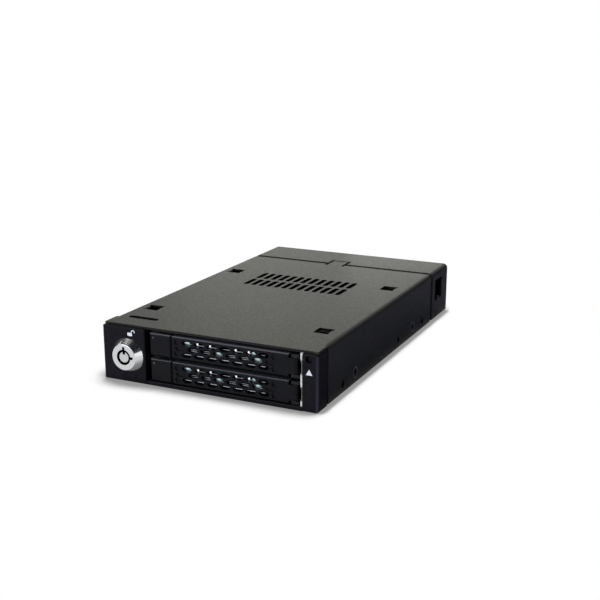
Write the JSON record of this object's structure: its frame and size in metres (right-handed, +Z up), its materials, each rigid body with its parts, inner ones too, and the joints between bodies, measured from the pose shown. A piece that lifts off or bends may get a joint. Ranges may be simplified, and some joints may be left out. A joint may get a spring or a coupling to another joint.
{
  "type": "hot swap drive cage",
  "caption": "Flat sheet-metal cage with slide-out drive trays behind hinged grille doors, a round-key lock at the front and boards at the rear.",
  "frame": {"origin": "below the middle of the cage, at the height of the bezel's lower edge", "axes": "+X to the right seen from the front, +Y from the front to the rear, +Z up"},
  "size_m": [0.1016, 0.17, 0.0254],
  "materials": {
    "sheet_paint": "fine dark grey powder coat",
    "bezel_plastic": "fine-grained black moulding",
    "inner_plastic": "plain black moulding",
    "lock_chrome": "polished chrome",
    "light_plastic": "milky white",
    "circuit_board": "green board lacquer",
    "tray_steel": "plain black coat",
    "small_steel": "plain zinc-plated steel"
  },
  "bodies": {
    "chassis": {"top_cover": "sheet_paint", "rear_cover": "sheet_paint", "base_plate": "sheet_paint", "front_bezel": "bezel_plastic", "light_guide": "light_plastic", "indicator_board": "circuit_board", "indicator_leds": "light_plastic", "tact_switch": "inner_plastic", "left_guide": "inner_plastic", "right_guide": "inner_plastic", "side_screws": "small_steel", "backplane_board": "circuit_board", "lower_drive_connector": "inner_plastic", "upper_drive_connector": "inner_plastic", "controller_board": "circuit_board", "controller_chip": "inner_plastic", "link_connector": "inner_plastic", "board_standoffs": "small_steel", "board_screws": "small_steel", "data_port": "inner_plastic", "power_port": "inner_plastic", "lock_housing": "lock_chrome", "lock_nut": "small_steel", "lock_bracket": "small_steel", "bracket_screws": "small_steel"},
    "lock_core": {"lock_core": "lock_chrome", "lock_cam": "small_steel"},
    "lock_slide": {"lock_slide": "small_steel"},
    "push_button": {"push_button": "bezel_plastic"},
    "lower_tray": {"lower_tray": "tray_steel", "lower_hinge_pin": "small_steel", "lower_latch_spring": "small_steel"},
    "lower_door": {"lower_door": "bezel_plastic"},
    "lower_latch": {"lower_latch_button": "bezel_plastic"},
    "upper_tray": {"upper_tray": "tray_steel", "upper_hinge_pin": "small_steel", "upper_latch_spring": "small_steel"},
    "upper_door": {"upper_door": "bezel_plastic"},
    "upper_latch": {"upper_latch_button": "bezel_plastic"}
  },
  "joints": [
    {"name": "lock_turn", "type": "hinge", "parent": "chassis", "child": "lock_core", "pos_m": [-0.0386, -0.082, 0.0118], "axis": [0, 1, 0], "range_deg": [0, 90]},
    {"name": "lock_slide_move", "type": "slide", "parent": "chassis", "child": "lock_slide", "axis": [1, 0, 0], "range_m": [0, 0.0035]},
    {"name": "push_button_press", "type": "slide", "parent": "chassis", "child": "push_button", "axis": [0, 1, 0], "range_m": [0, 0.0007], "stiffness_N_per_m": 200},
    {"name": "lower_tray_slide", "type": "slide", "parent": "chassis", "child": "lower_tray", "axis": [0, -1, 0], "range_m": [0, 0.11]},
    {"name": "lower_door_swing", "type": "hinge", "parent": "lower_tray", "child": "lower_door", "pos_m": [0.0399, -0.0798, 0.007], "axis": [0, 0, 1], "range_deg": [0, 75]},
    {"name": "lower_latch_press", "type": "slide", "parent": "lower_tray", "child": "lower_latch", "axis": [0, 1, 0], "range_m": [0, 0.0016], "stiffness_N_per_m": 300, "deforming": ["lower_latch_spring"]},
    {"name": "upper_tray_slide", "type": "slide", "parent": "chassis", "child": "upper_tray", "axis": [0, -1, 0], "range_m": [0, 0.11]},
    {"name": "upper_door_swing", "type": "hinge", "parent": "upper_tray", "child": "upper_door", "pos_m": [0.0399, -0.0798, 0.0183], "axis": [0, 0, 1], "range_deg": [0, 75]},
    {"name": "upper_latch_press", "type": "slide", "parent": "upper_tray", "child": "upper_latch", "axis": [0, 1, 0], "range_m": [0, 0.0016], "stiffness_N_per_m": 300, "deforming": ["upper_latch_spring"]}
  ],
  "couplings": [
    {"joint": "lock_turn", "follows": "lock_slide_move", "rad_per_m": 448.79}
  ]
}
